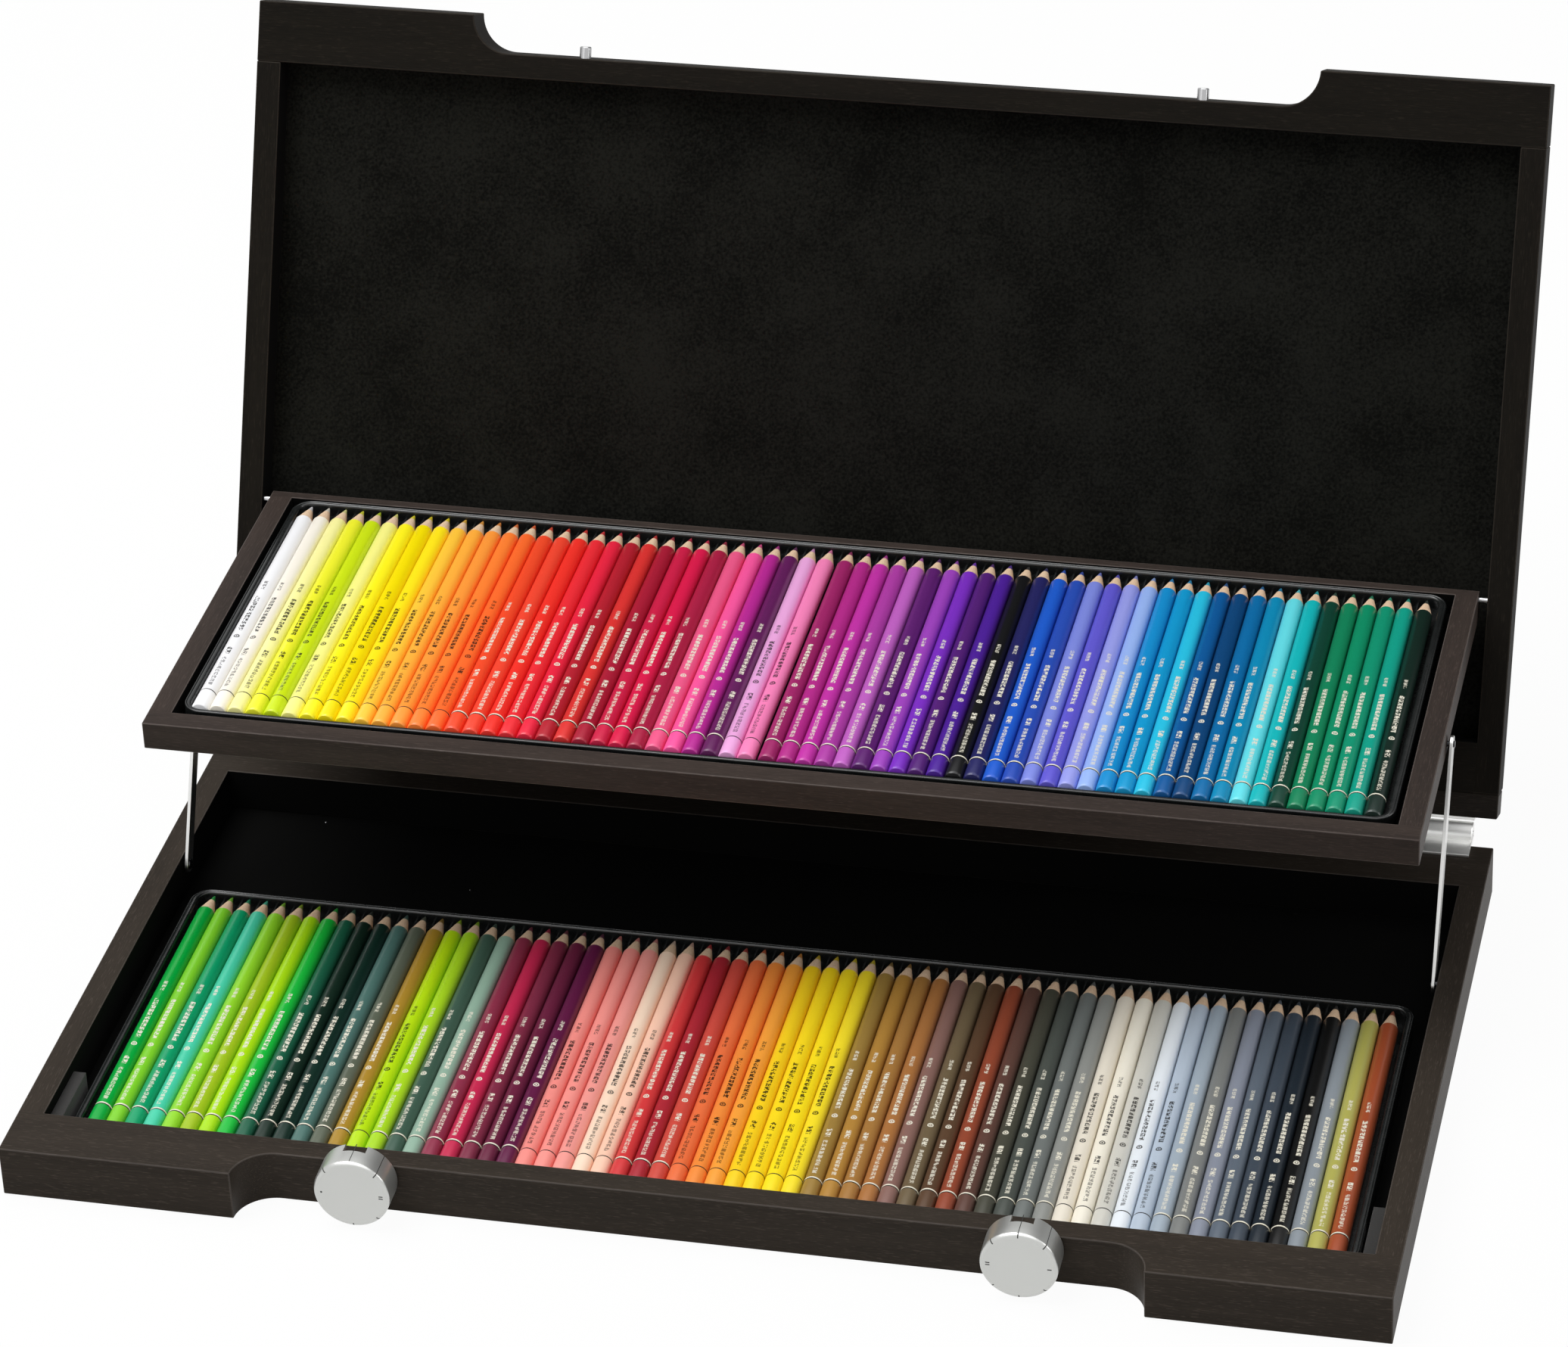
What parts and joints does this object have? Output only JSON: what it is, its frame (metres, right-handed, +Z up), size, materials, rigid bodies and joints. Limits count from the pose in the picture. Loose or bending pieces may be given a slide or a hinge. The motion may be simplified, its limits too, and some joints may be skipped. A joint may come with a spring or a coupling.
{
  "type": "pencil case with swing-up tray",
  "caption": "Flat wooden pencil case with a hinged lid, turning latch knobs and an upper tray that swings up level on side links as the lid opens.",
  "frame": {"origin": "centre of the base's underside, on the surface that the case stands on", "axes": "+X to the right along the long side, +Y to the back where the hinge is, +Z up"},
  "size_m": [0.55, 0.4545, 0.3073],
  "materials": {
    "dark_wood": "satin, stained nearly black, fine open grain",
    "panel_wood": "satin, painted black inside",
    "moulded_plastic": "black, moderately glossy",
    "hinge_aluminium": "satin",
    "knob_aluminium": "turned, satin faces with a bright edge",
    "steel": "plain, polished",
    "velvet": "black pile",
    "felt": "black",
    "pencils_lower": "lacquered, one colour a pencil",
    "pencils_upper": "lacquered, one colour a pencil"
  },
  "bodies": {
    "base": {"base_front_rail": "dark_wood", "base_back_rail": "dark_wood", "base_left_rail": "dark_wood", "base_right_rail": "dark_wood", "base_bottom_panel": "panel_wood", "base_brads": "steel", "stop_block_left": "felt", "stop_block_right": "felt", "link_peg_left": "steel", "link_peg_right": "steel", "knob_spindle_left": "steel", "knob_spindle_right": "steel", "hinge_base_leaf": "hinge_aluminium", "hinge_pin": "steel", "hinge_base_screws": "steel", "lower_insert": "moulded_plastic", "lower_pencils_1": "pencils_lower", "lower_pencils_2": "pencils_lower", "lower_pencils_3": "pencils_lower", "lower_pencils_4": "pencils_lower", "lower_pencils_5": "pencils_lower", "lower_pencils_6": "pencils_lower"},
    "lid": {"lid_front_rail": "dark_wood", "lid_left_stile": "dark_wood", "lid_right_stile": "dark_wood", "lid_lower_rail": "dark_wood", "lid_hinge_batten": "dark_wood", "lid_panel": "panel_wood", "lid_lining": "velvet", "latch_pin_left": "steel", "latch_pin_right": "steel", "hinge_lid_leaf": "hinge_aluminium", "hinge_lid_screws": "steel"},
    "tray": {"tray_front_rail": "dark_wood", "tray_back_rail": "dark_wood", "tray_left_rail": "dark_wood", "tray_right_rail": "dark_wood", "tray_bottom_panel": "panel_wood", "tray_pin_left": "steel", "tray_pin_right": "steel", "link_screw_left": "steel", "link_screw_right": "steel", "upper_insert": "moulded_plastic", "upper_pencils_1": "pencils_upper", "upper_pencils_2": "pencils_upper", "upper_pencils_3": "pencils_upper", "upper_pencils_4": "pencils_upper"},
    "link_left": {"link_left": "steel"},
    "link_right": {"link_right": "steel"},
    "knob_left": {"knob_left": "knob_aluminium"},
    "knob_right": {"knob_right": "knob_aluminium"}
  },
  "joints": [
    {"name": "lid_hinge", "type": "hinge", "parent": "base", "child": "lid", "pos_m": [0, 0.15905, 0.0234], "axis": [1, 0, 0], "range_deg": [0, 114.2]},
    {"name": "tray_pivot", "type": "hinge", "parent": "lid", "child": "tray", "pos_m": [0, 0.20175, 0.11132], "axis": [1, 0, 0], "range_deg": [-114.2, 0]},
    {"name": "link_left_pivot", "type": "hinge", "parent": "base", "child": "link_left", "pos_m": [-0.2625, 0.05795, 0.0174], "axis": [1, 0, 0], "range_deg": [0, 114.2]},
    {"name": "link_right_pivot", "type": "hinge", "parent": "base", "child": "link_right", "pos_m": [0.2625, 0.05795, 0.0174], "axis": [1, 0, 0], "range_deg": [0, 114.2]},
    {"name": "latch_left_turn", "type": "hinge", "parent": "base", "child": "knob_left", "pos_m": [-0.1318, -0.14425, 0.0166], "axis": [0, 1, 0], "range_deg": [0, 90]},
    {"name": "latch_right_turn", "type": "hinge", "parent": "base", "child": "knob_right", "pos_m": [0.1318, -0.14425, 0.0166], "axis": [0, 1, 0], "range_deg": [0, 90]}
  ],
  "couplings": [
    {"joint": "tray_pivot", "follows": "lid_hinge", "ratio": -1},
    {"joint": "link_left_pivot", "follows": "lid_hinge", "ratio": 1},
    {"joint": "link_right_pivot", "follows": "lid_hinge", "ratio": 1}
  ]
}
